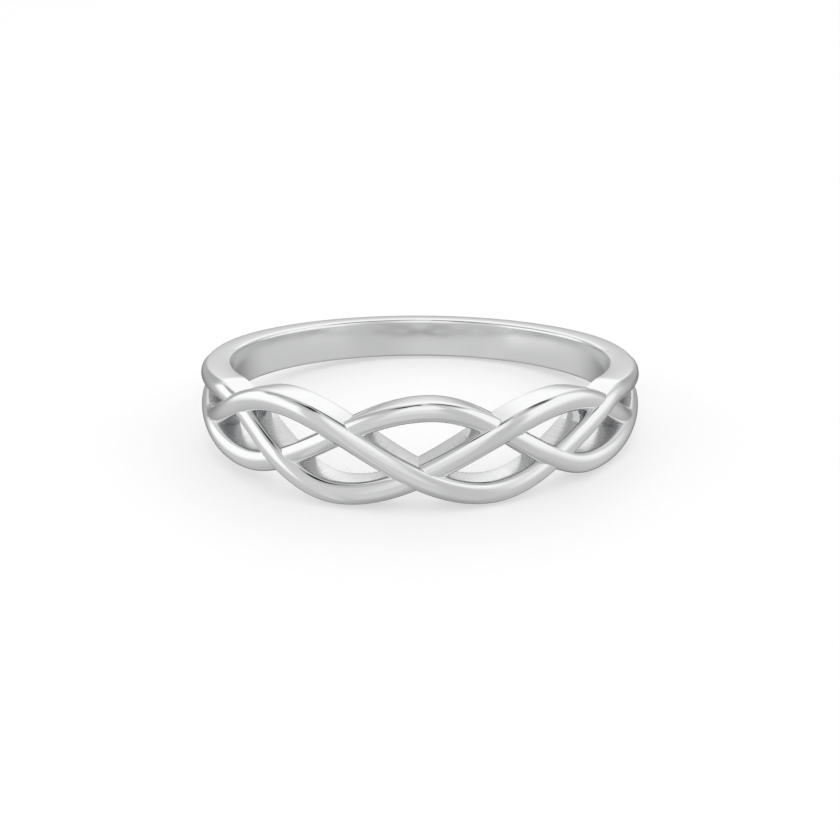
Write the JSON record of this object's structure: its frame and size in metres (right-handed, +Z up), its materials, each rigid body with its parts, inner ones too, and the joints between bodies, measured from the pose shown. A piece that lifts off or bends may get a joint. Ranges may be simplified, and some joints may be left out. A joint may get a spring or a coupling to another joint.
{
  "type": "rope ring",
  "caption": "Finger ring in polished white metal: a plain round shank that opens at the front into an open braid of crossing strands.",
  "frame": {"origin": "bottom centre of the ring as it lies on a table, resting on two lobes of the braid and the back edge of the shank", "axes": "+Z up from the table, -Y towards the braided front, +X to the right seen from the front; the finger hole leans about 6.5 degrees off +Z"},
  "size_m": [0.02, 0.0204, 0.0045],
  "materials": {
    "white_metal": "polished"
  },
  "bodies": {
    "root": {"ring": "white_metal"}
  },
  "joints": []
}
